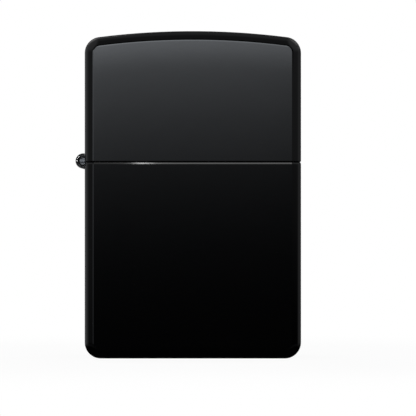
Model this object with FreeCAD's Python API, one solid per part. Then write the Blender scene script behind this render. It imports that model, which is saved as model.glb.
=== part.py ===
import FreeCAD, Part
import math
import os

V = FreeCAD.Vector
os.makedirs("parts", exist_ok=True)

# Frame, mm: +Z up, front is -Y, hinge on -X, origin at the middle of the flat base.
# ---- outer case ----
CASE_W = 37.0
CASE_D = 13.0
CASE_H = 56.0
WALL = 0.65
CORNER_R = 2.75          # outline corners seen from the front
ARCH_R = 127.0           # shallow arch of the lid top
EDGE_R = 1.6             # rounding round the front and back faces
PART_Z = 33.53           # middle of the joint between bottom case and lid
PART_GAP = 0.03
LIP_BREAK = 0.20         # 45 degree bevel on the lid's lip
LEAD_H = 0.28            # shallow lead-in on the bottom case's lip
LEAD_IN = 0.07

# ---- hinge ----
HINGE_X = -18.8
HINGE_Z = 33.8
KNUCKLE_R = 1.3
KNUCKLE_L = 1.84
KNUCKLE_GAP = 0.075
KNUCKLES = 5
KNUCKLE_ROUND = 0.3      # rounding of the barrel's two end faces
SEAM_HALF_W = 0.05       # half the gap where a knuckle is rolled shut
PIN_R = 0.65
PIN_PLAY = 0.04
LEAF_T = 0.5
LEAF_H = 8.4
LEAF_CORNER = 1.2
NOTCH_PLAY = 0.12        # room round the barrel in the case wall
DIMPLE_R = 1.1
DIMPLE_DEPTH = 0.15
DIMPLE_Y = 2.6
HINGE_L = KNUCKLES * KNUCKLE_L + (KNUCKLES - 1) * KNUCKLE_GAP

# ---- insert ----
INS_L = -17.25
INS_R = 17.60
INS_HALF_D = 5.75
INS_T = 0.4
INS_CORNER = 1.5
RIM_Z = 1.78
DECK_Z = 37.2
DECK_T = 0.5

# ---- chimney ----
CH_L = -7.0
CH_R = 5.6
CH_HALF_D = 4.5
CH_T = 0.42
CH_TOP = 50.0
CH_BEND = 2.4
EAR_R = 3.0              # radius of the ears that hold the wheel
HOLE_R = 0.88            # air holes
HOLE_ROWS = (3, 2, 3)
HOLE_STEP_X = 2.85
HOLE_STEP_Z = 2.75
HOLE_FIRST = 2.5         # from the top edge down to the first row

# ---- striker wheel and flint ----
WHEEL_X = 9.6
WHEEL_Z = 41.6
WHEEL_R = 3.5
WHEEL_HALF_W = 2.5
WHEEL_TEETH = 40
TOOTH_H = 0.36
WHEEL_AXLE_R = 0.9
FLINT_R = 1.2
FLINT_L = 5.0
FLINT_TOP = 38.07
TUBE_R = 1.9
TUBE_BORE = 1.3
TUBE_BOTTOM = 3.0
TUBE_TOP = 37.7
TIP_T = 0.8
SCREW_SHANK = 6.0
SPRING_WIRE = 0.17
SPRING_R = 0.98
SPRING_TURNS = 20
TIP_TOP = FLINT_TOP - FLINT_L
SPRING_HIGH = TIP_TOP - TIP_T
SPRING_LOW = TUBE_BOTTOM + SCREW_SHANK

# ---- cam ----
CAM_X = -9.2
CAM_Z = 39.4
CAM_HALF_W = 1.55
CAM_REACH = 8.15
CAM_AXLE_R = 0.75
CAM_DROP = 10.0          # nose angle below level with the lid shut
HEEL_REACH = 3.0
HEEL_R = 0.6
HEEL_ANGLES = (-66, -108)
TAB_T = 0.42
TAB_R = 1.9
TAB_PLAY = 0.12
CAM_SHEET = 0.42

# ---- cam spring ----
SPRING_RIVET_Z = 27.0
RIVET_R = 0.6
RIVET_HEAD_R = 1.1
STRIP_T = 0.32
STRIP_TOP = CAM_Z - HEEL_REACH - 0.06
STRIP_BEND = 1.8
STRIP_END = -6.2
STRIP_HALF_W = 1.5

# ---- wick and packing ----
WICK_X = -0.6
WICK_R = 1.2
WICK_TOP = 49.2
ROW_Z = [29.5, 24.0, 18.5, 13.0]
ROW_LEFT = -11.0
ROW_RIGHT = 3.0
PAD_BOTTOM = 2.2
PAD_T = 2.4


def box(x0, x1, y0, y1, z0, z1):
    return Part.makeBox(x1 - x0, y1 - y0, z1 - z0, V(x0, y0, z0))


def bar_y(x, z, r, y0, y1):
    return Part.makeCylinder(r, y1 - y0, V(x, y0, z), V(0, 1, 0))


def bar_z(x, y, r, z0, z1):
    return Part.makeCylinder(r, z1 - z0, V(x, y, z0), V(0, 0, 1))


def export(shape, node):
    if shape.ShapeType == "Compound" and len(shape.Solids) == 1:
        shape = shape.Solids[0]
    if not shape.isValid():
        raise ValueError(node + " is not valid")
    if len(shape.Solids) != 1:
        raise ValueError(node + " has " + str(len(shape.Solids)) + " solids")
    shape.exportStep("parts/" + node + ".step")


def arch_outline(inset):
    """Front outline of the case: flat base, straight sides, shallow arch on top."""
    half = CASE_W / 2 - inset
    base = inset
    peak = CASE_H - inset
    arch = ARCH_R - inset
    shoulder = peak - arch + math.sqrt(arch ** 2 - half ** 2)
    a = V(-half, 0, base)
    b = V(half, 0, base)
    c = V(half, 0, shoulder)
    d = V(-half, 0, shoulder)
    top = Part.Arc(c, V(0, 0, peak), d).toShape()
    edges = [Part.makeLine(a, b), Part.makeLine(b, c), top, Part.makeLine(d, a)]
    return Part.Face(Part.Wire(edges))


def upright_edges(shape):
    """Edges that run from front to back."""
    found = []
    for edge in shape.Edges:
        ends = [v.Point for v in edge.Vertexes]
        if len(ends) == 2 and abs(ends[0].x - ends[1].x) < 1e-6 and abs(ends[0].z - ends[1].z) < 1e-6:
            found.append(edge)
    return found


def face_edges(shape, half_depth):
    """Edges that lie in the flat front or back face."""
    found = []
    for edge in shape.Edges:
        bb = edge.BoundBox
        if bb.YLength < 1e-4 and abs(abs(bb.YMin) - half_depth) < 1e-4:
            found.append(edge)
    return found


def capsule(inset):
    """Closed, rounded block of the whole case, made smaller all round by inset."""
    half_depth = CASE_D / 2 - inset
    block = arch_outline(inset).extrude(V(0, 2 * half_depth, 0))
    block.translate(V(0, -half_depth, 0))
    block = block.makeFillet(CORNER_R - inset, upright_edges(block))
    return block.makeFillet(EDGE_R - inset, face_edges(block, half_depth))


def lip_edges(shape, z):
    """Outer edges of a cut lip at height z."""
    found = []
    for edge in shape.Edges:
        bb = edge.BoundBox
        if abs(bb.ZMin - z) < 1e-4 and bb.ZLength < 1e-4:
            found.append(edge)
    return found


def plan_outline(inset, z):
    """Case outline seen from above, at height z."""
    half_w = CASE_W / 2 - inset
    half_d = CASE_D / 2 - inset
    block = box(-half_w, half_w, -half_d, half_d, z, z + 5)
    block = block.makeFillet(EDGE_R - inset, corner_edges(block))
    low_face = min(block.Faces, key=lambda f: f.CenterOfMass.z)
    return low_face.OuterWire


def lead_in(top_z):
    """Wedge-shaped ring to cut off the bottom case's outer lip."""
    slab = box(-CASE_W, CASE_W, -CASE_D, CASE_D, top_z - LEAD_H, top_z + 1)
    keep = Part.makeLoft([plan_outline(0, top_z - LEAD_H), plan_outline(LEAD_IN, top_z)], True)
    return slab.common(box(-CASE_W, CASE_W, -CASE_D, CASE_D, top_z - LEAD_H, top_z)).cut(keep)


def shells():
    outer = capsule(0.0)
    inner = capsule(WALL)
    low_z = PART_Z - PART_GAP / 2
    high_z = PART_Z + PART_GAP / 2
    far = CASE_W
    low = outer.common(box(-far, far, -far, far, -1, low_z))
    low = low.cut(lead_in(low_z))
    high = outer.common(box(-far, far, -far, far, high_z, CASE_H + 1))
    high = high.makeChamfer(LIP_BREAK, lip_edges(high, high_z))
    room = HINGE_L / 2 + NOTCH_PLAY
    notch = bar_y(HINGE_X, HINGE_Z, KNUCKLE_R + NOTCH_PLAY, -room, room)
    bottom = low.cut(inner).cut(notch)
    lid = high.cut(inner).cut(notch)
    return bottom, lid


def knuckle_span(i):
    y0 = -HINGE_L / 2 + i * (KNUCKLE_L + KNUCKLE_GAP)
    return y0, y0 + KNUCKLE_L


def knuckle(i, bore):
    """One rolled knuckle; the barrel's two end faces are rounded outside and in."""
    y0, y1 = knuckle_span(i)
    ring = bar_y(HINGE_X, HINGE_Z, KNUCKLE_R, y0, y1).cut(bar_y(HINGE_X, HINGE_Z, bore, y0, y1))
    ends = [e for e in ring.Edges
            if e.BoundBox.YLength < 1e-4 and abs(abs(e.BoundBox.YMin) - HINGE_L / 2) < 1e-4]
    return ring.makeFillet(KNUCKLE_ROUND, ends) if ends else ring


def hinge_leaf(upper):
    """One leaf with its rolled knuckles; the lower leaf has those at both ends."""
    wall_x = -CASE_W / 2 + WALL
    clear = KNUCKLE_R + 0.15
    if upper:
        near_z = PART_Z + PART_GAP / 2
        leaf = box(wall_x, wall_x + LEAF_T, -HINGE_L / 2, HINGE_L / 2, near_z, near_z + LEAF_H)
        tip_z = near_z + LEAF_H
    else:
        near_z = PART_Z - PART_GAP / 2
        leaf = box(wall_x, wall_x + LEAF_T, -HINGE_L / 2, HINGE_L / 2, near_z - LEAF_H, near_z)
        tip_z = near_z - LEAF_H
    corners = [e for e in leaf.Edges
               if e.BoundBox.XLength > LEAF_T / 2 and abs(e.BoundBox.ZMin - tip_z) < 1e-4]
    leaf = leaf.makeFillet(LEAF_CORNER, corners)
    # weld dimples pressed into the inner face
    middle_z = (near_z + tip_z) / 2 + (0.6 if upper else -0.6)
    dimple_x = wall_x + LEAF_T + DIMPLE_R - DIMPLE_DEPTH
    for y in (-DIMPLE_Y, DIMPLE_Y):
        leaf = leaf.cut(Part.makeSphere(DIMPLE_R, V(dimple_x, y, middle_z)))
    bore = PIN_R + PIN_PLAY if upper else PIN_R
    knuckles = []
    for i in range(KNUCKLES):
        y0, y1 = knuckle_span(i)
        mine = (i % 2 == 1) if upper else (i % 2 == 0)
        if mine:
            knuckles.append(knuckle(i, bore))
        else:
            a = y0 - KNUCKLE_GAP if i > 0 else y0
            b = y1 + KNUCKLE_GAP if i < KNUCKLES - 1 else y1
            if upper:
                leaf = leaf.cut(box(-20, -16, a, b, near_z - 1, HINGE_Z + clear))
            else:
                leaf = leaf.cut(box(-20, -16, a, b, HINGE_Z - clear, near_z + 1))
    # the leaf's plate stops where the barrel begins
    leaf = leaf.cut(bar_y(HINGE_X, HINGE_Z, (bore + KNUCKLE_R) / 2, -HINGE_L, HINGE_L))
    for ring in knuckles:
        leaf = leaf.fuse(ring)
    # the open seam where each knuckle is rolled shut
    seam = box(PIN_R / 2, KNUCKLE_R * 1.5, -HINGE_L, HINGE_L, -SEAM_HALF_W, SEAM_HALF_W)
    seam.rotate(V(0, 0, 0), V(0, 1, 0), 215 if upper else 105)
    seam.translate(V(HINGE_X, 0, HINGE_Z))
    return leaf.cut(seam).removeSplitter()


def hinge_pin():
    pin = bar_y(HINGE_X, HINGE_Z, PIN_R, -HINGE_L / 2 - 0.05, HINGE_L / 2 + 0.05)
    ends = [e for e in pin.Edges if e.BoundBox.YLength < 1e-4]
    return pin.makeFillet(0.12, ends)


def prism(points, y0, y1):
    """Straight-sided outline in the XZ plane, extruded along Y."""
    loop = [V(x, y0, z) for x, z in points]
    return Part.Face(Part.makePolygon(loop + [loop[0]])).extrude(V(0, y1 - y0, 0))


def corner_edges(shape):
    """Vertical edges."""
    found = []
    for edge in shape.Edges:
        bb = edge.BoundBox
        if bb.XLength < 1e-4 and bb.YLength < 1e-4 and bb.ZLength > 1:
            found.append(edge)
    return found


def insert_tank():
    d = INS_HALF_D
    outer = box(INS_L, INS_R, -d, d, RIM_Z, DECK_Z)
    outer = outer.makeFillet(INS_CORNER, corner_edges(outer))
    top = [e for e in outer.Edges if abs(e.BoundBox.ZMin - DECK_Z) < 1e-4]
    outer = outer.makeFillet(0.45, top)
    room = box(INS_L + INS_T, INS_R - INS_T, -d + INS_T, d - INS_T, RIM_Z - 1, DECK_Z - DECK_T)
    room = room.makeFillet(INS_CORNER - INS_T, corner_edges(room))
    tank = outer.cut(room)
    # opening in the deck for the wick, and the slot the cam heel works in
    wick_hole = box(CH_L + 1.4, CH_R - 1.4, -3.1, 3.1, DECK_Z - 2, DECK_Z + 1)
    wick_hole = wick_hole.makeFillet(1.4, corner_edges(wick_hole))
    slot_half = CAM_HALF_W + 0.1
    heel_slot = box(CAM_X - 3.9, CAM_X + 2.1, -slot_half, slot_half, DECK_Z - 2, DECK_Z + 1)
    heel_slot = heel_slot.makeFillet(0.4, corner_edges(heel_slot))
    tank = tank.cut(wick_hole).cut(heel_slot)
    tank = tank.cut(bar_z(WHEEL_X, 0, TUBE_R, DECK_Z - 2, DECK_Z + 1))
    # countersunk hole for the cam-spring rivet in the hinge-side wall
    z = SPRING_RIVET_Z
    hole = Part.makeCylinder(RIVET_R, 3, V(INS_L - 1, 0, z), V(1, 0, 0))
    sink = Part.makeCone(RIVET_HEAD_R, RIVET_R, 0.25, V(INS_L, 0, z), V(1, 0, 0))
    return tank.cut(hole).cut(sink)


def cam_spring():
    """Flat strip: up the hinge-side wall, round a bend, then level under the cam heel."""
    x0 = INS_L + INS_T
    far = x0 + STRIP_BEND
    low = SPRING_RIVET_Z - 2.4
    bend_z = STRIP_TOP - STRIP_BEND
    w = STRIP_HALF_W
    leg = box(x0, x0 + STRIP_T, -w, w, low, bend_z)
    arm = box(far, STRIP_END, -w, w, STRIP_TOP - STRIP_T, STRIP_TOP)
    ring = bar_y(far, bend_z, STRIP_BEND, -w, w).cut(bar_y(far, bend_z, STRIP_BEND - STRIP_T, -w, w))
    bend = ring.common(box(x0, far, -w, w, bend_z, STRIP_TOP))
    strip = leg.fuse(bend).fuse(arm).removeSplitter()
    tip = [e for e in strip.Edges
           if e.BoundBox.ZLength > STRIP_T / 2 and abs(e.BoundBox.XMin - STRIP_END) < 1e-4
           and e.BoundBox.YLength < 1e-4]
    strip = strip.makeFillet(0.8, tip)
    hole = Part.makeCylinder(RIVET_R, 3, V(x0 - 1, 0, SPRING_RIVET_Z), V(1, 0, 0))
    return strip.cut(hole)


def cam_spring_rivet():
    z = SPRING_RIVET_Z
    inside = INS_L + INS_T + STRIP_T
    shank = Part.makeCylinder(RIVET_R, inside - INS_L + 0.1, V(INS_L, 0, z), V(1, 0, 0))
    sunk = Part.makeCone(RIVET_HEAD_R, RIVET_R, 0.25, V(INS_L, 0, z), V(1, 0, 0))
    head = Part.makeCylinder(RIVET_HEAD_R, 0.4, V(inside, 0, z), V(1, 0, 0))
    rim = [e for e in head.Edges
           if abs(e.BoundBox.XMin - inside - 0.4) < 1e-4 and e.BoundBox.XLength < 1e-4]
    return shank.fuse(sunk).fuse(head.makeFillet(0.25, rim))


def chimney():
    """Bent sheet: closed round end to the hinge side, ears for the wheel, tabs for the cam."""
    far_x = WHEEL_X + EAR_R
    d = CH_HALF_D
    t = CH_T
    outer = box(CH_L, far_x, -d, d, DECK_Z, CH_TOP)
    bend = [e for e in corner_edges(outer) if abs(e.BoundBox.XMin - CH_L) < 1e-4]
    outer = outer.makeFillet(CH_BEND, bend)
    room = box(CH_L + t, far_x + 2, -d + t, d - t, DECK_Z - 1, CH_TOP + 1)
    bend = [e for e in corner_edges(room) if abs(e.BoundBox.XMin - CH_L - t) < 1e-4]
    room = room.makeFillet(CH_BEND - t, bend)
    sheet = outer.cut(room)
    # side outline: tall windscreen, sloping down to the round wheel ears
    wide = box(CH_L - 1, CH_R, -d - 1, d + 1, DECK_Z, CH_TOP)
    ramp_x = WHEEL_X + EAR_R * math.cos(math.radians(110))
    ramp_z = WHEEL_Z + EAR_R * math.sin(math.radians(110))
    points = [(CH_R - 2, DECK_Z), (far_x, DECK_Z), (far_x, WHEEL_Z), (WHEEL_X, WHEEL_Z),
              (ramp_x, ramp_z), (CH_R, ramp_z + 1.3), (CH_R - 2, ramp_z + 1.3)]
    ears = prism(points, -d - 1, d + 1)
    ears = ears.fuse(bar_y(WHEEL_X, WHEEL_Z, EAR_R, -d - 1, d + 1))
    sheet = sheet.common(wide.fuse(ears))
    top = [e for e in sheet.Edges
           if e.BoundBox.YLength < t + 0.01 and e.BoundBox.XLength < 1e-4 and e.BoundBox.ZLength < 1e-4
           and abs(e.BoundBox.ZMin - CH_TOP) < 1e-4 and abs(e.BoundBox.XMin - CH_R) < 1e-4]
    sheet = sheet.makeFillet(1.2, top)
    # tabs for the cam
    tab_y = CAM_HALF_W + TAB_PLAY
    for side in (-1, 1):
        y0 = min(side * tab_y, side * (tab_y + TAB_T))
        y1 = y0 + TAB_T
        tab = box(CAM_X - 0.2, CH_L + t, y0, y1, DECK_Z, CAM_Z + TAB_R)
        tab = tab.fuse(bar_y(CAM_X, CAM_Z, TAB_R, y0, y1))
        tab = tab.fuse(box(CAM_X - TAB_R, CAM_X, y0, y1, DECK_Z, CAM_Z))
        sheet = sheet.fuse(tab)
    sheet = sheet.cut(bar_y(CAM_X, CAM_Z, CAM_AXLE_R, -d, d))
    sheet = sheet.cut(bar_y(WHEEL_X, WHEEL_Z, WHEEL_AXLE_R, -d - 1, d + 1))
    # air holes, three rows on each side
    middle = (CH_L + CH_R) / 2 + 0.2
    for row, count in enumerate(HOLE_ROWS):
        z = CH_TOP - HOLE_FIRST - HOLE_STEP_Z * row
        for k in range(count):
            x = middle + HOLE_STEP_X * (k - (count - 1) / 2)
            sheet = sheet.cut(bar_y(x, z, HOLE_R, -d - 1, d + 1))
    return sheet.removeSplitter()


def rivet_y(x, z, r, half_span, head_r, head_t):
    """Rivet along Y with a domed head on each end."""
    body = bar_y(x, z, r, -half_span, half_span)
    for side in (-1, 1):
        y0 = min(side * half_span, side * (half_span + head_t))
        head = bar_y(x, z, head_r, y0, y0 + head_t)
        outer_y = side * (half_span + head_t)
        rim = [e for e in head.Edges
               if e.BoundBox.YLength < 1e-4 and abs(e.BoundBox.YMin - outer_y) < 1e-4]
        body = body.fuse(head.makeFillet(head_t * 0.7, rim))
    return body


def cam():
    """Lever: long nose to the hinge side, round heel below the axle. Drawn level, then dropped."""
    w = CAM_HALF_W
    nose_r = 0.75
    nose_x = CAM_X - CAM_REACH + nose_r
    hub_r = 1.75
    hub = bar_y(CAM_X, CAM_Z, hub_r, -w, w)
    nose = bar_y(nose_x, CAM_Z + 0.15, nose_r, -w, w)
    web = [(nose_x, CAM_Z + 0.15 + nose_r), (nose_x - 0.05, CAM_Z + 0.15 - nose_r),
           (CAM_X - 1.2, CAM_Z - 1.25), (CAM_X + 0.2, CAM_Z + hub_r - 0.02)]
    reach = HEEL_REACH - HEEL_R
    lever = hub.fuse(nose).fuse(prism(web, -w, w))
    heel_at = []
    for angle in HEEL_ANGLES:
        a = math.radians(angle)
        heel_at.append((CAM_X + reach * math.cos(a), CAM_Z + reach * math.sin(a)))
        lever = lever.fuse(bar_y(heel_at[-1][0], heel_at[-1][1], HEEL_R, -w, w))
    heel = [(CAM_X - 1.3, CAM_Z - 1.0), heel_at[1], heel_at[0], (CAM_X + 1.2, CAM_Z - 1.1)]
    lever = lever.fuse(prism(heel, -w, w))
    lever = lever.fuse(prism([(heel_at[1][0], heel_at[1][1] - HEEL_R * 0.95),
                              (heel_at[0][0] - 0.3, heel_at[0][1] - HEEL_R * 0.75),
                              heel_at[0], heel_at[1]], -w, w))
    lever = lever.cut(bar_y(CAM_X, CAM_Z, CAM_AXLE_R + 0.05, -w - 1, w + 1))
    # folded sheet: hollow from above between the two cheeks
    slot = box(nose_x + 1.0, CAM_X - 1.2, -w + CAM_SHEET, w - CAM_SHEET, CAM_Z - 0.35, CAM_Z + 4)
    lever = lever.cut(slot)
    lever.rotate(V(CAM_X, 0, CAM_Z), V(0, 1, 0), -CAM_DROP)
    return lever.removeSplitter()


def flint_wheel():
    """Toothed steel wheel with a smooth hub each side."""
    w = WHEEL_HALF_W
    points = []
    step = 2 * math.pi / WHEEL_TEETH
    for k in range(WHEEL_TEETH):
        a = k * step
        for part, r in ((0.0, WHEEL_R - TOOTH_H), (0.72, WHEEL_R), (0.92, WHEEL_R)):
            at = a + part * step
            points.append((WHEEL_X + r * math.cos(at), WHEEL_Z + r * math.sin(at)))
    wheel = prism(points, -w, w)
    # the rim is turned down a little at both faces
    rim = bar_y(WHEEL_X, WHEEL_Z, WHEEL_R + 0.01, -w, w)
    ends = [e for e in rim.Edges if e.BoundBox.YLength < 1e-4]
    wheel = wheel.common(rim.makeChamfer(0.3, ends))
    hub_y = CH_HALF_D - CH_T - 0.1
    wheel = wheel.fuse(bar_y(WHEEL_X, WHEEL_Z, 1.9, -hub_y, hub_y))
    return wheel.cut(bar_y(WHEEL_X, WHEEL_Z, WHEEL_AXLE_R + 0.05, -5, 5))


def flint_tube():
    tube = bar_z(WHEEL_X, 0, TUBE_R, TUBE_BOTTOM, TUBE_TOP)
    top = [e for e in tube.Edges if abs(e.BoundBox.ZMin - TUBE_TOP) < 1e-4]
    tube = tube.makeFillet(0.2, top)
    return tube.cut(bar_z(WHEEL_X, 0, TUBE_BORE, 0, 60))


def flint():
    rod = bar_z(WHEEL_X, 0, FLINT_R, FLINT_TOP - FLINT_L, FLINT_TOP)
    return rod.makeChamfer(0.1, [e for e in rod.Edges if e.BoundBox.ZLength < 1e-4])


def spring_tip():
    """Brass button between flint and spring, with a stem inside the coil."""
    head = bar_z(WHEEL_X, 0, FLINT_R, SPRING_HIGH, TIP_TOP)
    head = head.makeFillet(0.15, [e for e in head.Edges if e.BoundBox.ZLength < 1e-4])
    stem = bar_z(WHEEL_X, 0, SPRING_R - SPRING_WIRE - 0.1, SPRING_HIGH - 1.4, SPRING_HIGH + 0.2)
    return head.fuse(stem)


def flint_spring():
    low = SPRING_LOW + SPRING_WIRE
    high = SPRING_HIGH - SPRING_WIRE
    pitch = (high - low) / SPRING_TURNS
    path = Part.makeHelix(pitch, high - low, SPRING_R)
    ring = Part.makeCircle(SPRING_WIRE, V(SPRING_R, 0, 0), V(0, SPRING_R, pitch / (2 * math.pi)))
    coil = Part.Wire(path.Edges).makePipeShell([Part.Wire([ring])], True, True)
    if not coil.Solids:
        coil = Part.makeSolid(coil)
    coil.translate(V(WHEEL_X, 0, low))
    return coil


def flint_screw():
    """Slotted screw that closes the flint tube; ring grooves stand in for the thread."""
    head_low = TUBE_BOTTOM - 1.7
    head = bar_z(WHEEL_X, 0, 2.5, head_low, TUBE_BOTTOM)
    head = head.makeFillet(0.35, [e for e in head.Edges if e.BoundBox.ZLength < 1e-4
                                  and abs(e.BoundBox.ZMin - head_low) < 1e-4])
    screw = head.fuse(bar_z(WHEEL_X, 0, TUBE_BORE - 0.02, TUBE_BOTTOM, SPRING_LOW))
    z = TUBE_BOTTOM + 1.2
    while z < SPRING_LOW - 0.4:
        groove = bar_z(WHEEL_X, 0, TUBE_BORE + 1, z, z + 0.25)
        groove = groove.cut(bar_z(WHEEL_X, 0, TUBE_BORE - 0.25, z, z + 0.25))
        screw = screw.cut(groove)
        z += 0.5
    return screw.cut(box(WHEEL_X - 3, WHEEL_X + 3, -0.35, 0.35, head_low - 1, head_low + 0.8))


def wick_path():
    """Straight down from the chimney, then to and fro between the packing pads."""
    bend = (ROW_Z[0] - ROW_Z[1]) / 2
    edges = []

    def line(x0, z0, x1, z1):
        edges.append(Part.makeLine(V(x0, 0, z0), V(x1, 0, z1)))

    def arc(x0, z0, xm, zm, x1, z1):
        edges.append(Part.Arc(V(x0, 0, z0), V(xm, 0, zm), V(x1, 0, z1)).toShape())

    r = 2.2
    s = r * (1 - math.sqrt(0.5))
    line(WICK_X, WICK_TOP, WICK_X, ROW_Z[0] + r)
    arc(WICK_X, ROW_Z[0] + r, WICK_X - s, ROW_Z[0] + s, WICK_X - r, ROW_Z[0])
    x = WICK_X - r
    to_left = True
    for i, z in enumerate(ROW_Z):
        end = ROW_LEFT if to_left else ROW_RIGHT
        line(x, z, end, z)
        if i < len(ROW_Z) - 1:
            out = -bend if to_left else bend
            arc(end, z, end + out, z - bend, end, z - 2 * bend)
        x = end
        to_left = not to_left
    return Part.Wire(edges)


def wick(radius):
    ring = Part.Wire([Part.makeCircle(radius, V(WICK_X, 0, WICK_TOP), V(0, 0, 1))])
    return wick_path().makePipeShell([ring], True, True)


def wadding():
    """Soft pads that fill the tank in layers, pressed round the wick and the flint tube."""
    gap = 0.12
    d = INS_HALF_D - INS_T - gap
    left = INS_L + INS_T + gap
    right = INS_R - INS_T - gap
    tops = [STRIP_TOP - STRIP_T - 0.5] + ROW_Z
    lows = ROW_Z + [PAD_BOTTOM + PAD_T + 0.1]
    lane = wick(WICK_R + 0.06)
    pads = []
    for top, low in zip(tops, lows):
        pad = box(left, right, -d, d, low + 0.06, top - 0.06)
        pad = pad.makeFillet(1.3, corner_edges(pad))
        rims = [e for e in pad.Edges if e.BoundBox.ZLength < 1e-4]
        pad = pad.makeFillet(0.8, rims)
        pad = pad.cut(bar_z(WHEEL_X, 0, TUBE_R + 0.1, 0, 60)).cut(lane)
        strip_w = STRIP_HALF_W + 0.3
        strip_x = INS_L + INS_T + STRIP_T + 0.9
        pad = pad.cut(box(INS_L, strip_x, -strip_w, strip_w, SPRING_RIVET_Z - 2.7, 60))
        pads.append(max(pad.Solids, key=lambda s: s.Volume))
    return pads


def felt_pad():
    gap = 0.1
    d = INS_HALF_D - INS_T - gap
    pad = box(INS_L + INS_T + gap, INS_R - INS_T - gap, -d, d, PAD_BOTTOM, PAD_BOTTOM + PAD_T)
    pad = pad.makeFillet(INS_CORNER - INS_T - gap, corner_edges(pad))
    return pad.cut(bar_z(WHEEL_X, 0, 2.8, 0, 60))


case_bottom, case_lid = shells()
tab_half = CAM_HALF_W + TAB_PLAY + TAB_T
nodes = {
    "case_bottom": case_bottom,
    "case_lid": case_lid,
    "hinge_leaf_lower": hinge_leaf(False),
    "hinge_leaf_upper": hinge_leaf(True),
    "hinge_pin": hinge_pin(),
    "insert_tank": insert_tank(),
    "chimney": chimney(),
    "cam": cam(),
    "cam_rivet": rivet_y(CAM_X, CAM_Z, CAM_AXLE_R, tab_half, 1.25, 0.35),
    "cam_spring": cam_spring(),
    "cam_spring_rivet": cam_spring_rivet(),
    "flint_wheel": flint_wheel(),
    "wheel_rivet": rivet_y(WHEEL_X, WHEEL_Z, WHEEL_AXLE_R, CH_HALF_D, 1.6, 0.45),
    "flint_tube": flint_tube(),
    "flint": flint(),
    "spring_tip": spring_tip(),
    "flint_spring": flint_spring(),
    "flint_screw": flint_screw(),
    "wick": wick(WICK_R),
    "felt_pad": felt_pad(),
}
for number, pad in enumerate(wadding(), 1):
    nodes["wadding_" + str(number)] = pad
for node, shape in nodes.items():
    export(shape, node)
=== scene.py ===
import bpy
import math
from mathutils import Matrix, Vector, noise


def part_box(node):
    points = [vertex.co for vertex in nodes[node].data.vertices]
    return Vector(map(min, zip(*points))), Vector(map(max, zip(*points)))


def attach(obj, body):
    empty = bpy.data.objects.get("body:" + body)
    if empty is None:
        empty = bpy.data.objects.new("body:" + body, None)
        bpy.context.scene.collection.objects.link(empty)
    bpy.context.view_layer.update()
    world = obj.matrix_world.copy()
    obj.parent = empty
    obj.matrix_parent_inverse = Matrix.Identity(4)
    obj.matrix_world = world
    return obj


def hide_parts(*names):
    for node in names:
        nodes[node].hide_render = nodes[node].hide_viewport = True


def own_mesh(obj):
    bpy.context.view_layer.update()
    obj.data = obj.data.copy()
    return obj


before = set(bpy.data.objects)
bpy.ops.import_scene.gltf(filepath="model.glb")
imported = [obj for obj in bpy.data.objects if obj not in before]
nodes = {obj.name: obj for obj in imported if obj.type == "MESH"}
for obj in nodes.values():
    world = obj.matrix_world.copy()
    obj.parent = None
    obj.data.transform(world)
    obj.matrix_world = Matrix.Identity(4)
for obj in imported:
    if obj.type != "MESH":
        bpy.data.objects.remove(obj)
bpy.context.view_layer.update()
scene = bpy.context.scene
scene.view_settings.view_transform = "Standard"
scene.view_settings.look = "None"

MM = 0.001

# Places read from the frame
case_low, case_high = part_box("case_bottom")
lid_low, lid_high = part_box("case_lid")
CASE_W = case_high.x - case_low.x
CASE_H = lid_high.z
PART_Z = (case_high.z + lid_low.z) / 2

# ---------------------------------------------------------------- camera
LENS = 200.0
SENSOR = 36.0
FRAME_W = 70.88 * MM          # width of the picture at the front face
AIM_X = 2.59 * MM             # the object stands a little left of the middle
AIM_Z = 25.74 * MM

distance = FRAME_W * LENS / SENSOR
cam_data = bpy.data.cameras.new("camera")
cam_data.lens = LENS
cam_data.sensor_width = SENSOR
cam_data.clip_start = 0.01
cam_data.clip_end = 20.0
camera = bpy.data.objects.new("camera", cam_data)
camera.location = (AIM_X, case_low.y - distance, AIM_Z)
camera.rotation_euler = (math.radians(90), 0, 0)
scene.collection.objects.link(camera)
scene.camera = camera


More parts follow.
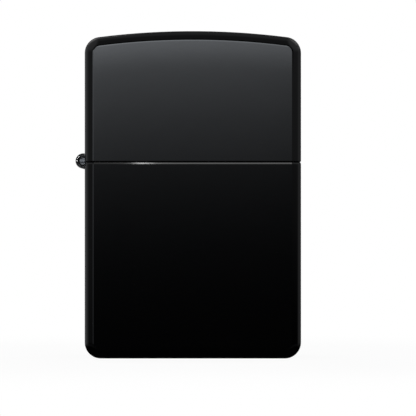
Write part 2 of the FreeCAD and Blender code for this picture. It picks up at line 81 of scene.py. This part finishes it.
# ---------------------------------------------------------------- node helpers
class Mat:
    """A material with short ways to add and join shader nodes."""

    def __init__(self, name):
        self.material = bpy.data.materials.new(name)
        self.material.use_nodes = True
        self.tree = self.material.node_tree
        self.bsdf = self.tree.nodes["Principled BSDF"]
        self.coord = self.tree.nodes.new("ShaderNodeTexCoord")
        self.point = self.coord.outputs["Object"]

    def node(self, kind, **values):
        made = self.tree.nodes.new("ShaderNode" + kind)
        for name, value in values.items():
            setattr(made, name, value)
        return made

    def join(self, source, target):
        if isinstance(source, (int, float, tuple)):
            target.default_value = source
        else:
            self.tree.links.new(source, target)

    def math(self, operation, a, b=0.0, c=0.0):
        made = self.node("Math", operation=operation)
        for value, target in zip((a, b, c), made.inputs):
            self.join(value, target)
        return made.outputs[0]

    def ramp(self, value, low, high, to_low=0.0, to_high=1.0, smooth=True):
        made = self.node("MapRange", interpolation_type="SMOOTHSTEP" if smooth else "LINEAR")
        for item, target in zip((value, low, high, to_low, to_high), made.inputs):
            self.join(item, target)
        return made.outputs[0]

    def stretch(self, x, y, z):
        made = self.node("Mapping")
        self.join(self.point, made.inputs["Vector"])
        made.inputs["Scale"].default_value = (x, y, z)
        return made.outputs[0]

    def noise(self, scale, detail=2.0, rough=0.5, point=None):
        made = self.node("TexNoise")
        self.join(point or self.point, made.inputs["Vector"])
        made.inputs["Scale"].default_value = scale
        made.inputs["Detail"].default_value = detail
        made.inputs["Roughness"].default_value = rough
        return made.outputs["Fac"]

    def mix(self, fac, a, b):
        made = self.node("Mix", data_type="RGBA")
        self.join(fac, made.inputs["Factor"])
        colours = [socket for socket in made.inputs if socket.type == "RGBA"]
        self.join(a, colours[0])
        self.join(b, colours[1])
        return next(socket for socket in made.outputs if socket.type == "RGBA")

    def bump(self, height, depth, after=None):
        made = self.node("Bump")
        made.inputs["Distance"].default_value = depth
        self.join(height, made.inputs["Height"])
        if after is not None:
            self.join(after, made.inputs["Normal"])
        return made.outputs[0]

    def split(self, point=None):
        made = self.node("SeparateXYZ")
        self.join(point or self.point, made.inputs[0])
        return made.outputs[0], made.outputs[1], made.outputs[2]

    def hypot(self, a, b):
        return self.math("SQRT", self.math("ADD", self.math("MULTIPLY", a, a), self.math("MULTIPLY", b, b)))

    def set(self, **values):
        for name, value in values.items():
            self.join(value, self.bsdf.inputs[name.replace("_", " ")])
        return self.material


def dress(material, *names):
    """Gives the named CAD nodes this material."""
    for name in names:
        slots = nodes[name].data.materials
        slots.clear()
        slots.append(material)


# ---------------------------------------------------------------- materials
BLACK = (0.0004, 0.0004, 0.0005, 1)
BARE = (0.86, 0.76, 0.53, 1)
TARNISHED = (0.76, 0.64, 0.42, 1)
ARCH_R = 127 * MM              # arch of the lid top, as in the CAD
EDGE_R = 1.6 * MM              # rounding round its front and back faces, as in the CAD
CROWN = 0.012                  # how far the lid's face tips up towards its top edge, radians
CROWN_BAND = 5.4 * MM          # over this much of the face
EDGE_TIP = 0.018               # and how much more over the last quarter of a millimetre
EDGE_BAND = 0.26 * MM
SIDE_CROWN = 0.025             # how far both faces tip out towards their sides, radians
LID_DULL_H = 0.22 * MM         # heights of the dull bands along the two cut lips
BOTTOM_DULL_H = 0.05 * MM
PEEL_DEPTH = 0.0006 * MM
WAVE_DEPTH = 0.004 * MM
BRUSH_DEPTH = 0.0005 * MM
FUZZ_DEPTH = 0.12 * MM
LID_INSIDE_Z = 45 * MM         # heights of two points inside the shells, which tell inside from outside
BOTTOM_INSIDE_Z = 18 * MM
pin_low, pin_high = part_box("hinge_pin")
HINGE_X = (pin_low.x + pin_high.x) / 2
HINGE_Z = (pin_low.z + pin_high.z) / 2
BARREL_R = HINGE_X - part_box("hinge_leaf_lower")[0].x


def faces_inwards(m, inside_z):
    """1 where the surface faces the point at this height inside the shell, and 0 outside."""
    away = m.node("VectorMath", operation="SUBTRACT")
    m.join(m.point, away.inputs[0])
    away.inputs[1].default_value = (0, 0, inside_z)
    facing = m.node("VectorMath", operation="DOT_PRODUCT")
    m.join(m.coord.outputs["Normal"], facing.inputs[0])
    m.join(away.outputs[0], facing.inputs[1])
    return m.math("LESS_THAN", facing.outputs["Value"], 0.0)


def tipped(m, sideways, upwards):
    """The surface's own direction, tipped by two small angles."""
    tip = m.node("CombineXYZ")
    m.join(sideways, tip.inputs[0])
    m.join(upwards, tip.inputs[2])
    sum_of_both = m.node("VectorMath", operation="ADD")
    m.join(m.node("NewGeometry").outputs["Normal"], sum_of_both.inputs[0])
    m.join(tip.outputs[0], sum_of_both.inputs[1])
    even = m.node("VectorMath", operation="NORMALIZE")
    m.join(sum_of_both.outputs[0], even.inputs[0])
    return even.outputs[0]


def lacquer_skin(m, direction):
    """Sprayed and baked lacquer: very fine orange peel over slow waves."""
    peel = m.bump(m.noise(1400.0, 1.0), PEEL_DEPTH, after=direction)
    return m.bump(m.noise(160.0, 1.0), WAVE_DEPTH, after=peel)


def lacquer_gloss(m):
    """Handling marks: faint patches and hairlines that only change the gloss."""
    patches = m.ramp(m.noise(90.0, 4.0), 0.45, 0.75)
    hairs = m.ramp(m.noise(900.0, 2.0, point=m.stretch(1.0, 1.0, 0.04)), 0.6, 0.75)
    gloss = m.math("MULTIPLY_ADD", patches, 0.02, 0.045)
    return m.math("MULTIPLY_ADD", hairs, 0.015, gloss)


def brushed_brass(m):
    """Colour and roughness of the bare inside."""
    brushed = m.noise(8000.0, 2.0, point=m.stretch(1.0, 1.0, 0.02))
    tarnish = m.ramp(m.noise(150.0, 5.0), 0.3, 0.8)
    return m.mix(tarnish, BARE, TARNISHED), m.ramp(brushed, 0.3, 0.7, 0.26, 0.36)


def shell_material(name, inside_z, lean_low, lean_high):
    """Black lacquer outside and bare brushed brass inside.
    The drawn faces are very slightly crowned: lean is how far they tip up, in radians, from the lower
    end of the shell to the upper end. The lacquer is thin and dull along the cut lip."""
    m = Mat(name)
    x, _, z = m.split()
    if inside_z > PART_Z:
        lift = m.ramp(z, lid_low.z, lid_high.z, lean_low, lean_high, smooth=False)
        # the face's upper edge follows the arch of the top
        from_centre = m.hypot(x, m.math("SUBTRACT", z, CASE_H - ARCH_R))
        edge = ARCH_R - EDGE_R
        lift = m.math("ADD", lift, m.ramp(from_centre, edge - CROWN_BAND, edge, 0.0, CROWN))
        lift = m.math("ADD", lift, m.ramp(from_centre, edge - EDGE_BAND, edge, 0.0, EDGE_TIP))
        dull = m.ramp(z, lid_low.z + 0.9 * LID_DULL_H, lid_low.z + 1.15 * LID_DULL_H, 0.08, 1.0)
    else:
        lift = m.ramp(z, case_low.z, case_high.z, lean_low, lean_high, smooth=False)
        dull = m.ramp(z, case_high.z - 1.4 * BOTTOM_DULL_H, case_high.z - 0.6 * BOTTOM_DULL_H, 1.0, 0.1)
    across = m.math("DIVIDE", x, CASE_W / 2)
    skin = lacquer_skin(m, tipped(m, m.math("MULTIPLY", m.math("POWER", across, 5.0), SIDE_CROWN), lift))
    inside = faces_inwards(m, inside_z)
    brass, brass_rough = brushed_brass(m)
    m.set(Base_Color=m.mix(inside, BLACK, brass), Metallic=inside, Roughness=brass_rough, Normal=skin)
    m.set(Specular_IOR_Level=m.math("MULTIPLY", inside, 0.5))
    coat = m.math("MULTIPLY", m.math("SUBTRACT", 1.0, inside), dull)
    m.set(Coat_Weight=coat, Coat_Roughness=lacquer_gloss(m), Coat_Normal=skin)
    return m.material


def hinge_material():
    """The rolled barrel is lacquered black like the case; the flat of each leaf inside it is bare steel."""
    m = Mat("hinge_metal")
    x, _, z = m.split()
    reach = m.hypot(m.math("SUBTRACT", x, HINGE_X), m.math("SUBTRACT", z, HINGE_Z))
    bare = m.ramp(reach, BARREL_R + 0.02 * MM, BARREL_R + 0.12 * MM)
    lines = m.noise(9000.0, 3.0, 0.6, point=m.stretch(1, 0.03, 1))
    steel_tone = m.mix(lines, (0.56, 0.56, 0.57, 1), (0.68, 0.68, 0.70, 1))
    rough = m.ramp(lines, 0.3, 0.7, 0.22, 0.34)
    peel = m.noise(1400.0, 1.0)
    skin = m.bump(m.math("MULTIPLY", lines, bare), 2 * BRUSH_DEPTH)
    m.set(Base_Color=m.mix(bare, BLACK, steel_tone), Metallic=bare, Roughness=rough, Normal=skin)
    m.set(Specular_IOR_Level=m.math("MULTIPLY", bare, 0.5))
    m.set(Coat_Weight=m.math("SUBTRACT", 1.0, bare), Coat_Roughness=m.ramp(peel, 0.3, 0.7, 0.04, 0.08))
    return m.material


def pin_material():
    """Steel pin: its sawn ends carry a few dark level scratches."""
    m = Mat("hinge_pin")
    lines = m.noise(9000.0, 3.0, 0.6, point=m.stretch(1, 0.03, 1))
    scratches = m.ramp(m.noise(2700.0, 2.0, point=m.stretch(0.12, 1, 1)), 0.42, 0.56)
    tone = m.mix(scratches, (0.045, 0.045, 0.05, 1), (0.27, 0.28, 0.29, 1))
    return m.set(Base_Color=tone, Metallic=1.0, Roughness=m.ramp(lines, 0.3, 0.7, 0.16, 0.28))


def metal(name, colour, rough_low, rough_high, grain, tint=0.07):
    """Brushed metal; grain is the stretch of the brush lines along x, y and z."""
    m = Mat(name)
    lines = m.noise(14000.0, 3.0, 0.6, point=m.stretch(*grain))
    clouds = m.noise(260.0, 4.0)
    dark = tuple(c * (1 - tint) for c in colour)
    dull = tuple(c * 0.75 for c in colour)
    tone = m.mix(m.ramp(lines, 0.25, 0.75), dark + (1,), colour + (1,))
    tone = m.mix(m.ramp(clouds, 0.45, 0.9, 0.0, 0.2), tone, dull + (1,))
    rough = m.ramp(lines, 0.3, 0.7, rough_low, rough_high)
    rough = m.math("ADD", rough, m.ramp(clouds, 0.4, 0.8, 0.0, 0.08))
    return m.set(Base_Color=tone, Metallic=1.0, Roughness=rough, Normal=m.bump(lines, BRUSH_DEPTH))


def fibre(name, colour, shade):
    """Cotton, felt or wadding; shade is a darker tone painted in the hollows between the fibres, where the
    bump is low: painted shade.
    """
    m = Mat(name)
    threads = m.noise(5200.0, 4.0, 0.7)
    soft = m.noise(700.0, 3.0)
    # painted shade: darker where the threads' bump is low, between the fibres
    tone = m.mix(m.ramp(threads, 0.3, 0.7), shade + (1,), colour + (1,))
    fuzz = m.bump(m.math("ADD", threads, soft), FUZZ_DEPTH)
    return m.set(Base_Color=tone, Roughness=0.95, Sheen_Weight=0.3, Normal=fuzz)


materials = {
    "lacquer_lid": shell_material("lacquer_lid", LID_INSIDE_Z, 0.011, 0.019),
    "lacquer_bottom": shell_material("lacquer_bottom", BOTTOM_INSIDE_Z, -0.03, -0.006),
    "hinge_metal": hinge_material(),
    "hinge_pin": pin_material(),
    "tank_steel": metal("tank_steel", (0.74, 0.74, 0.75), 0.2, 0.28, (1, 1, 0.02)),
    "chimney_steel": metal("chimney_steel", (0.72, 0.71, 0.70), 0.22, 0.32, (0.02, 1, 1)),
    "cam_steel": metal("cam_steel", (0.68, 0.68, 0.70), 0.18, 0.26, (1, 0.03, 1)),
    "rivet_steel": metal("rivet_steel", (0.66, 0.66, 0.68), 0.25, 0.4, (1, 1, 1)),
    "spring_steel": metal("spring_steel", (0.42, 0.42, 0.45), 0.2, 0.32, (1, 0.05, 1)),
    "wheel_steel": metal("wheel_steel", (0.30, 0.30, 0.31), 0.3, 0.45, (1, 0.1, 1), tint=0.4),
    "brass": metal("brass", (0.78, 0.58, 0.26), 0.2, 0.35, (1, 1, 0.05)),
    "copper": metal("copper", (0.80, 0.42, 0.26), 0.25, 0.4, (1, 1, 1)),
    "flint_alloy": metal("flint_alloy", (0.20, 0.19, 0.18), 0.5, 0.7, (1, 1, 1), tint=0.4),
    # the second colour of each is the painted shade between its fibres
    "wick_cotton": fibre("wick_cotton", (0.80, 0.75, 0.64), (0.52, 0.47, 0.38)),
    "felt": fibre("felt", (0.76, 0.75, 0.71), (0.55, 0.54, 0.5)),
    "wadding": fibre("wadding", (0.88, 0.87, 0.84), (0.66, 0.65, 0.62)),
}
dress(materials["lacquer_lid"], "case_lid")
dress(materials["lacquer_bottom"], "case_bottom")
dress(materials["hinge_metal"], "hinge_leaf_lower", "hinge_leaf_upper")
dress(materials["hinge_pin"], "hinge_pin")
dress(materials["tank_steel"], "insert_tank")
dress(materials["chimney_steel"], "chimney")
dress(materials["cam_steel"], "cam")
dress(materials["rivet_steel"], "cam_rivet", "wheel_rivet", "cam_spring_rivet")
dress(materials["spring_steel"], "cam_spring")
dress(materials["wheel_steel"], "flint_wheel")
dress(materials["brass"], "flint_tube", "spring_tip", "flint_screw")
dress(materials["flint_alloy"], "flint")


# ---------------------------------------------------------------- pieces made here
def new_object(name, verts, faces, materials, indices):
    mesh = bpy.data.meshes.new(name)
    mesh.from_pydata(verts, [], faces)
    for material in materials:
        mesh.materials.append(material)
    mesh.polygons.foreach_set("material_index", indices)
    mesh.polygons.foreach_set("use_smooth", [True] * len(mesh.polygons))
    mesh.update()
    made = bpy.data.objects.new(name, mesh)
    scene.collection.objects.link(made)
    return made


class Tubes:
    """Collects round tubes into one mesh."""

    def __init__(self):
        self.verts = []
        self.faces = []
        self.indices = []

    def add(self, points, radius, sides, index=0):
        """One closed tube along the points."""
        first = len(self.verts)
        side = None
        for k, point in enumerate(points):
            ahead = points[min(k + 1, len(points) - 1)]
            behind = points[max(k - 1, 0)]
            along = (ahead - behind).normalized()
            if side is None:
                side = along.orthogonal().normalized()
            side = (side - along * side.dot(along)).normalized()
            up = along.cross(side)
            for j in range(sides):
                a = 2 * math.pi * j / sides
                self.verts.append(point + (side * math.cos(a) + up * math.sin(a)) * radius)
        for k in range(len(points) - 1):
            for j in range(sides):
                a = first + k * sides + j
                b = first + k * sides + (j + 1) % sides
                self.faces.append((a, b, b + sides, a + sides))
                self.indices.append(index)
        last = first + (len(points) - 1) * sides
        self.faces.append(tuple(reversed(range(first, first + sides))))
        self.faces.append(tuple(range(last, last + sides)))
        self.indices.extend([index, index])

    def build(self, name, materials):
        return new_object(name, self.verts, self.faces, materials, self.indices)


# Flint spring: closed coils at both ends, open between.
SPRING_TURNS = 20
CLOSED_TURNS = 1.5
TURN_POINTS = 28
WIRE_R = 0.17 * MM
spring_low, spring_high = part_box("flint_spring")


def spring_points():
    centre = (spring_low + spring_high) / 2
    mean_r = (spring_high.x - spring_low.x) / 2 - WIRE_R
    z0 = spring_low.z + WIRE_R
    z1 = spring_high.z - WIRE_R
    steps = SPRING_TURNS * TURN_POINTS
    closed = CLOSED_TURNS / SPRING_TURNS
    closed_rise = CLOSED_TURNS * WIRE_R * 2.05      # closed coils all but touch
    points = []
    for k in range(steps + 1):
        t = k / steps
        if t < closed:
            z = z0 + closed_rise * t / closed
        elif t > 1 - closed:
            z = z1 - closed_rise * (1 - t) / closed
        else:
            u = (t - closed) / (1 - 2 * closed)
            z = z0 + closed_rise + (z1 - z0 - 2 * closed_rise) * u
        a = 2 * math.pi * SPRING_TURNS * t
        points.append(Vector((centre.x + mean_r * math.cos(a), mean_r * math.sin(a), z)))
    return points


coil = Tubes()
coil.add(spring_points(), WIRE_R, 8)
spring = coil.build("flint_spring_coil", [materials["spring_steel"]])
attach(spring, "base")
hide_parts("flint_spring")
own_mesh(spring)

# Wick: a round braid over a core, running to and fro between the wadding pads, as in the CAD.
wick_low, wick_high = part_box("wick")
WICK_R = (wick_high.y - wick_low.y) / 2
WICK_X = -0.6 * MM
ROWS = [29.5 * MM, 24.0 * MM, 18.5 * MM, 13.0 * MM]
ROW_LEFT = -11.0 * MM
ROW_RIGHT = 3.0 * MM
FIRST_BEND = 2.2 * MM
STEP = 0.25 * MM               # between the points of its middle line
CARRIERS = 8                   # strands that wind each way
PITCH = 5.2 * MM               # length of one turn of a strand
STRAND_R = 0.21 * MM
OVER = 0.10 * MM               # how far a strand rises and dips as it winds


def wick_line():
    """The wick's middle line, evenly spaced points from the top down."""
    points = []

    def straight(x0, z0, x1, z1):
        count = max(1, round(math.dist((x0, z0), (x1, z1)) / STEP))
        for k in range(count):
            points.append(Vector((x0 + (x1 - x0) * k / count, 0, z0 + (z1 - z0) * k / count)))

    def round_bend(cx, cz, r, start, end):
        count = max(1, round(abs(end - start) * r / STEP))
        for k in range(count):
            a = start + (end - start) * k / count
            points.append(Vector((cx + r * math.cos(a), 0, cz + r * math.sin(a))))

    straight(WICK_X, wick_high.z, WICK_X, ROWS[0] + FIRST_BEND)
    round_bend(WICK_X - FIRST_BEND, ROWS[0] + FIRST_BEND, FIRST_BEND, 0, -math.pi / 2)
    x = WICK_X - FIRST_BEND
    half = (ROWS[0] - ROWS[1]) / 2
    for k, z in enumerate(ROWS):
        to_left = k % 2 == 0
        end = ROW_LEFT if to_left else ROW_RIGHT
        straight(x, z, end, z)
        if k < len(ROWS) - 1:
            turn = math.pi if to_left else -math.pi
            round_bend(end, z - half, half, math.pi / 2, math.pi / 2 + turn)
        x = end
    points.append(Vector((x, 0, ROWS[-1])))
    return points


def braid():
    """The wick's core and strands; two of the strands are thin copper wires.
    Each strand rises and dips several times in a turn. Where two of them cross, they run through
    each other."""
    line = wick_line()
    tubes = Tubes()
    tubes.add(line, WICK_R - 2 * STRAND_R - OVER * 0.4, 10)
    y_axis = Vector((0, 1, 0))
    mean = WICK_R - STRAND_R - OVER
    for direction in (1, -1):
        for k in range(CARRIERS):
            points = []
            for i, point in enumerate(line):
                ahead = line[min(i + 1, len(line) - 1)]
                behind = line[max(i - 1, 0)]
                along = (ahead - behind).normalized()
                side = along.cross(y_axis)
                a = 2 * math.pi * (k / CARRIERS + direction * i * STEP / PITCH)
                r = mean + OVER * math.sin(a * CARRIERS / 2)
                points.append(point + (y_axis * math.sin(a) + side * math.cos(a)) * r)
            copper = direction > 0 and k in (0, 4)
            tubes.add(points, STRAND_R * (0.5 if copper else 1.0), 6, 1 if copper else 0)
    return tubes.build("wick_braid", [materials["wick_cotton"], materials["copper"]])


wick = braid()
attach(wick, "base")
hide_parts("wick")


COARSE = 0.45 / MM             # how fast the pads' slow and fine unevenness changes, per metre
FINE = 2.6 / MM


def fluffy(node, name, material, voxel, depth):
    """A fibrous copy of a soft CAD solid: its surface is drawn in unevenly, by up to about depth."""
    source = nodes[node]
    made = source.copy()
    made.data = source.data.copy()
    made.name = name
    made.parent = None
    for key in list(made.keys()):
        del made[key]
    scene.collection.objects.link(made)
    remesh = made.modifiers.new("remesh", "REMESH")
    remesh.mode = "VOXEL"
    remesh.voxel_size = voxel
    graph = bpy.context.evaluated_depsgraph_get()
    mesh = bpy.data.meshes.new_from_object(made.evaluated_get(graph))
    made.modifiers.clear()
    made.data = mesh
    low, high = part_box(node)
    moves = []
    for vertex in mesh.vertices:
        coarse = noise.noise(vertex.co * COARSE)
        fine = noise.noise(vertex.co * FINE)
        pull = depth * (0.55 + 0.6 * coarse + 0.35 * fine)
        moves.append(vertex.co - vertex.normal * max(0.0, pull))
    for vertex, place in zip(mesh.vertices, moves):
        vertex.co = [min(max(place[k], low[k]), high[k]) for k in range(3)]
    mesh.materials.clear()
    mesh.materials.append(material)
    mesh.polygons.foreach_set("use_smooth", [True] * len(mesh.polygons))
    mesh.update()
    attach(made, "base")
    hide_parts(node)


for node in sorted(nodes):
    if node.startswith("wadding_"):
        fluffy(node, node + "_fibre", materials["wadding"], 0.35 * MM, 0.22 * MM)
fluffy("felt_pad", "felt_pad_fibre", materials["felt"], 0.25 * MM, 0.06 * MM)


# ---------------------------------------------------------------- studio
FLOOR_W = 4.0
DOME_R = 2.2
SHADOW_NEAR = 20 * MM          # the soft shadow fades out between these distances from the base
SHADOW_FAR = 80 * MM
CARD_W = 120 * MM              # contact card: a black patch of painted shade that only reflections see
CARD_D = 90 * MM
CARD_DROP = 0.2 * MM           # how far it lies under the floor's surface
CLEAR_NEAR = 4 * MM            # it is black up to this distance from the base,
CLEAR_FAR = 18 * MM            # and clear from this one on
FRONT_AWAY = 1.0               # how far the front boxes and strips stand from the object
FRONT_FOOT = -0.16             # the front box's lower and upper edges and half its width
FRONT_TOP = 0.262
FRONT_HALF_W = 0.14
LINE_W = 0.22                  # the box beside it, and the height of its middle
LINE_H = 0.4
LINE_Z = 0.05
GLOW_Z = 0.04                  # height at which these two have their stated level
COOL = (0.945, 0.995, 1.06, 1)           # their slightly cool light
LEAD_IN = 0.07 * MM            # shallow bevel on the bottom case's lip, as in the CAD
LEAD_H = 0.28 * MM
STRIP_H = 0.04                 # height of the strips that light it


def stage_plane(name, width, height, place, look_at, material,
                camera_sees=False, mirrors=True, lights=True):
    """Flat surface of the studio. mirrors: it shows in glossy surfaces. lights: it lights dull ones."""
    mesh = bpy.data.meshes.new(name)
    w, h = width / 2, height / 2
    mesh.from_pydata([(-w, -h, 0), (w, -h, 0), (w, h, 0), (-w, h, 0)], [], [(0, 1, 2, 3)])
    mesh.materials.append(material)
    plane = bpy.data.objects.new(name, mesh)
    plane.location = place
    if look_at is not None:
        direction = plane.location - Vector(look_at)
        plane.rotation_euler = direction.to_track_quat("Z", "Y").to_euler()
    plane.visible_camera = camera_sees
    plane.visible_glossy = mirrors
    plane.visible_diffuse = lights
    plane.visible_shadow = False
    scene.collection.objects.link(plane)


def lamp(name, width, height, place, look_at, radiance, only):
    """Area lamp that lights only the CAD nodes named in only."""
    data = bpy.data.lights.new(name, "AREA")
    data.shape = "RECTANGLE"
    data.size = width
    data.size_y = height
    data.energy = math.pi * width * height * radiance
    light = bpy.data.objects.new(name, data)
    light.location = place
    light.rotation_euler = (light.location - Vector(look_at)).to_track_quat("Z", "Y").to_euler()
    light.visible_camera = False
    scene.collection.objects.link(light)
    lit = bpy.data.collections.new(name + "_lit")
    for node in only:
        lit.objects.link(nodes[node])
    light.light_linking.receiver_collection = lit


def emit(m, level, colour=(1, 1, 1, 1)):
    """Turns the material into a plain light of this level."""
    m.tree.nodes.remove(m.bsdf)
    light = m.node("Emission")
    light.inputs["Color"].default_value = colour
    m.join(level, light.inputs["Strength"])
    m.tree.links.new(light.outputs[0], m.tree.nodes["Material Output"].inputs["Surface"])
    return m.material


def climbing_glow(name, level, climb, lean=0.0):
    """Softbox surface that has this level in the middle, at the height GLOW_Z. It grows exponentially,
    at the rates climb upwards and lean to the left, per metre."""
    m = Mat(name)
    x, _, z = m.split(m.node("NewGeometry").outputs["Position"])
    up = m.math("MULTIPLY", m.math("SUBTRACT", z, GLOW_Z), climb)
    left = m.math("MULTIPLY", x, -lean)
    return emit(m, m.math("MULTIPLY", m.math("EXPONENT", m.math("ADD", up, left)), level), COOL)


def glow(name, strength):
    """Softbox surface: even in the middle, fading towards its edges."""
    m = Mat(name)
    fades = []
    for along in m.split(m.coord.outputs["Generated"])[:2]:
        from_middle = m.math("ABSOLUTE", m.math("SUBTRACT", along, 0.5))
        fades.append(m.ramp(from_middle, 0.35, 0.5, 1.0, 0.0))
    return emit(m, m.math("MULTIPLY", m.math("MULTIPLY", fades[0], fades[1]), strength))


def from_footprint(m):
    """How far a point of the floor lies outside the object's rectangular base."""
    x, y, _ = m.split()
    out = []
    for value, half in ((x, case_high.x), (y, case_high.y)):
        out.append(m.math("MAXIMUM", m.math("SUBTRACT", m.math("ABSOLUTE", value), half), 0.0))
    return m.hypot(*out)


def blend(m, share, shader):
    """Turns the material into a mix of its own shader and another, of which share is used."""
    mixed = m.node("MixShader")
    m.join(share, mixed.inputs[0])
    m.tree.links.new(m.bsdf.outputs[0], mixed.inputs[1])
    m.tree.links.new(shader.outputs[0], mixed.inputs[2])
    m.tree.links.new(mixed.outputs[0], m.tree.nodes["Material Output"].inputs["Surface"])
    return m.material


def floor_material():
    """White paper, which takes a soft shadow close to the object and is an even white further out."""
    m = Mat("floor")
    m.set(Base_Color=(0.92, 0.92, 0.92, 1), Roughness=0.9)
    away = from_footprint(m)
    white = m.node("Emission")
    m.join(m.ramp(away, SHADOW_NEAR, SHADOW_FAR, 1.1, 1.0), white.inputs["Strength"])
    return blend(m, m.ramp(away, SHADOW_NEAR, SHADOW_FAR, 0.84, 1.0), white)


def contact_shade():
    """Painted shade close round the base as the lacquer mirrors it: a black sheet, black at the object and
    clear further out.
    """
    m = Mat("contact_shade")
    m.set(Base_Color=(0.0, 0.0, 0.0, 1), Specular_IOR_Level=0.0)
    return blend(m, m.ramp(from_footprint(m), CLEAR_NEAR, CLEAR_FAR), m.node("BsdfTransparent"))


def white_room():
    """Even white all round, seen by the camera only."""
    bpy.ops.mesh.primitive_uv_sphere_add(segments=32, ring_count=16, radius=DOME_R)
    dome = bpy.context.object
    dome.name = "backdrop"
    dome.data.materials.append(emit(Mat("backdrop"), 1.0))
    dome.visible_glossy = False
    dome.visible_diffuse = False
    dome.visible_shadow = False
    dome.visible_transmission = False


class Sky(Mat):
    """The world's nodes, with the same short ways to join them. A point is a direction here."""

    def __init__(self, name):
        world = bpy.data.worlds.new(name)
        world.use_nodes = True
        scene.world = world
        self.tree = world.node_tree
        self.coord = self.tree.nodes.new("ShaderNodeTexCoord")
        self.point = self.coord.outputs["Generated"]


def room_light():
    """Surroundings: x is to the right, y is backwards and z is up, each from -1 to 1."""
    s = Sky("room")
    x, y, z = s.split()
    # round the horizon: lighter to the left and a little behind, dark straight behind
    left = s.ramp(y, -0.5, 0.3, s.ramp(z, -0.25, 0.1, 0.0, 0.21), s.ramp(z, -0.6, 0.0, 0.0, 0.46))
    left = s.math("MULTIPLY", left, s.ramp(y, 0.65, 0.98, 1.0, 0.25))
    right = s.ramp(y, -0.4, 0.3, s.ramp(z, -0.13, 0.1, 0.0, 0.2), s.ramp(z, -0.6, 0.0, 0.0, 0.29))
    right = s.math("MULTIPLY", right, s.ramp(y, 0.35, 0.62, 1.0, 0.04))
    side = s.ramp(x, -0.15, 0.15, left, right)
    # overhead: dim in the upright plane through the camera, lighter to both sides of it
    off_axis = s.ramp(s.math("ABSOLUTE", x), 0.14, 0.4)
    overhead = s.math("MULTIPLY", s.ramp(z, 0.9, 1.0, 0.15, 0.25), s.ramp(y, 0.6, 0.9, 1.0, 0.25))
    overhead = s.math("MULTIPLY_ADD", off_axis, 0.3, overhead)
    level = s.ramp(z, 0.12, 0.4, side, overhead)
    # the pale floor, mirrored only where the view is steep enough
    floor = s.math("ADD", s.ramp(z, -0.36, -0.16, 0.55, 0.0), s.ramp(z, -0.65, -0.3, 0.45, 0.0))
    floor = s.math("MULTIPLY", floor, s.ramp(x, -0.8, 0.8, 1.1, 0.8))
    level = s.math("ADD", level, floor)
    # darker above the front boxes
    front = s.math("MULTIPLY", s.ramp(y, -0.95, -0.88, 1.0, 0.0), s.ramp(z, 0.08, 0.16))
    level = s.math("MULTIPLY", level, s.math("MULTIPLY_ADD", front, -0.95, 1.0))
    back = s.tree.nodes["Background"]
    back.inputs["Color"].default_value = (0.95, 0.97, 1.0, 1)
    s.join(level, back.inputs["Strength"])


room_light()
white_room()
stage_plane("floor", FLOOR_W, FLOOR_W, (0, 0, 0), None, floor_material(),
            camera_sees=True, mirrors=False, lights=False)
# painted shade: a black card just under the floor round the base, seen only in reflections
stage_plane("contact_card", CARD_W, CARD_D, (0, 0, -CARD_DROP), None, contact_shade(), lights=False)
middle = (0, 0, CASE_H / 2)
front_middle = (FRONT_FOOT + FRONT_TOP) / 2
# front box: the light that fades down the lid. It ends just above, so the roundings stay dark.
stage_plane("front_box", 2 * FRONT_HALF_W, FRONT_TOP - FRONT_FOOT, (0, -FRONT_AWAY, front_middle),
            (0, 0, front_middle), climbing_glow("front_glow", 0.183, 17.2, 1.8))
# beside it: the thin line down the face's left edge
line_x = -FRONT_HALF_W - LINE_W / 2
stage_plane("left_line", LINE_W, LINE_H, (line_x, -FRONT_AWAY, LINE_Z), (line_x, 0, LINE_Z),
            climbing_glow("line_glow", 0.72, 6.5))
# thin strips that light only the bottom case, where its lip's bevel mirrors them: dim to the left,
# even to the right, and brightest over one short stretch
strip_z = PART_Z + FRONT_AWAY * math.tan(2 * math.atan(LEAD_IN / LEAD_H) + math.radians(0.5))
for name, left, right, radiance in (("strip_left", -0.15, -0.047, 0.60),
                                    ("strip_peak", -0.046, -0.038, 18.0),
                                    ("strip_right", -0.037, 0.15, 2.2)):
    strip_x = (left + right) / 2
    lamp(name, right - left, STRIP_H, (strip_x, -FRONT_AWAY, strip_z), (strip_x, 0, strip_z), radiance,
         ["case_bottom"])
# two small lamps that sparkle on the rounded end of the hinge barrel
barrel = ["hinge_leaf_lower", "hinge_leaf_upper"]
lamp("spark_high", 0.16, 0.16, (-0.36, -1.16, 0.27), middle, 170.0, barrel)
lamp("spark_low", 0.30, 0.10, (-0.44, -1.16, 0.07), middle, 90.0, barrel)
# broad soft lights from above, and three lamps for the bare metal of the insert
stage_plane("key_left", 0.7, 0.7, (-0.45, 0.45, 0.75), middle, glow("key_left_glow", 0.9))
stage_plane("key_right", 0.6, 0.6, (0.55, 0.25, 0.75), middle, glow("key_right_glow", 0.8))
insert_metal = ["insert_tank", "chimney", "cam", "cam_rivet", "wheel_rivet", "flint_wheel", "cam_spring"]
lamp("insert_left", 0.6, 0.6, (-0.5, -0.75, 0.5), middle, 2.8, insert_metal)
lamp("insert_right", 0.4, 0.6, (0.6, -0.75, 0.35), middle, 2.0, insert_metal)
lamp("insert_back", 0.6, 0.6, (-0.4, 0.8, 0.4), middle, 2.0, insert_metal)
